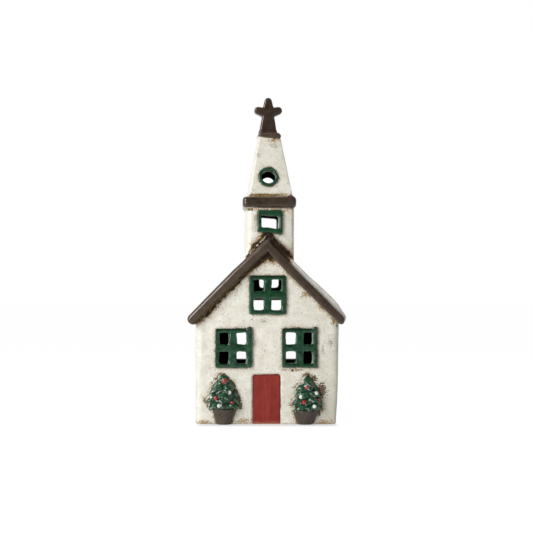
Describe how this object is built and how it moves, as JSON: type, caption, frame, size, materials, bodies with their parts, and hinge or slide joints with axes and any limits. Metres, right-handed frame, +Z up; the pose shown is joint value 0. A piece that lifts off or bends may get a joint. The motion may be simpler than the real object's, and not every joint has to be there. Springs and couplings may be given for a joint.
{
  "type": "tea light village church",
  "caption": "Slab-built glazed ceramic church with a tower, spire and cross, open at the back for a tea light.",
  "frame": {"origin": "middle of the house's flat underside, on the surface it stands on", "axes": "+Z up, +Y to the open back, the front with its door faces -Y, +X to the viewer's right"},
  "size_m": [0.129, 0.11, 0.2697],
  "materials": {
    "bare_clay": "unglazed, matt",
    "cream_glaze": "gloss, speckled",
    "roof_glaze": "gloss, speckled",
    "brown_glaze": "gloss, breaking to rust",
    "rust_glaze": "gloss, mottled",
    "red_glaze": "gloss",
    "green_glaze": "gloss, breaking to pale green",
    "grey_glaze": "gloss",
    "foliage_glaze": "gloss, breaking to pale green",
    "red_bauble_glaze": "gloss",
    "white_bauble_glaze": "gloss"
  },
  "bodies": {
    "root": {"floor_slab": "bare_clay", "front_wall": "cream_glaze", "back_wall": "cream_glaze", "left_wall": "cream_glaze", "right_wall": "cream_glaze", "left_roof_slab": "roof_glaze", "right_roof_slab": "roof_glaze", "gable_trim": "brown_glaze", "door_panel": "red_glaze", "left_window_frame": "green_glaze", "right_window_frame": "green_glaze", "gable_window_frame": "green_glaze", "left_pot": "grey_glaze", "right_pot": "grey_glaze", "left_tree": "foliage_glaze", "right_tree": "foliage_glaze", "left_red_baubles": "red_bauble_glaze", "left_white_baubles": "white_bauble_glaze", "right_red_baubles": "red_bauble_glaze", "right_white_baubles": "white_bauble_glaze", "tower_front_wall": "cream_glaze", "tower_back_wall": "cream_glaze", "tower_left_wall": "cream_glaze", "tower_right_wall": "cream_glaze", "tower_foot_bead": "rust_glaze", "tower_window_frame": "green_glaze", "cornice": "brown_glaze", "spire_front_wall": "cream_glaze", "spire_back_wall": "cream_glaze", "spire_left_wall": "cream_glaze", "spire_right_wall": "cream_glaze", "oculus_ring": "green_glaze", "spire_cap": "brown_glaze", "cross": "brown_glaze"}
  },
  "joints": []
}
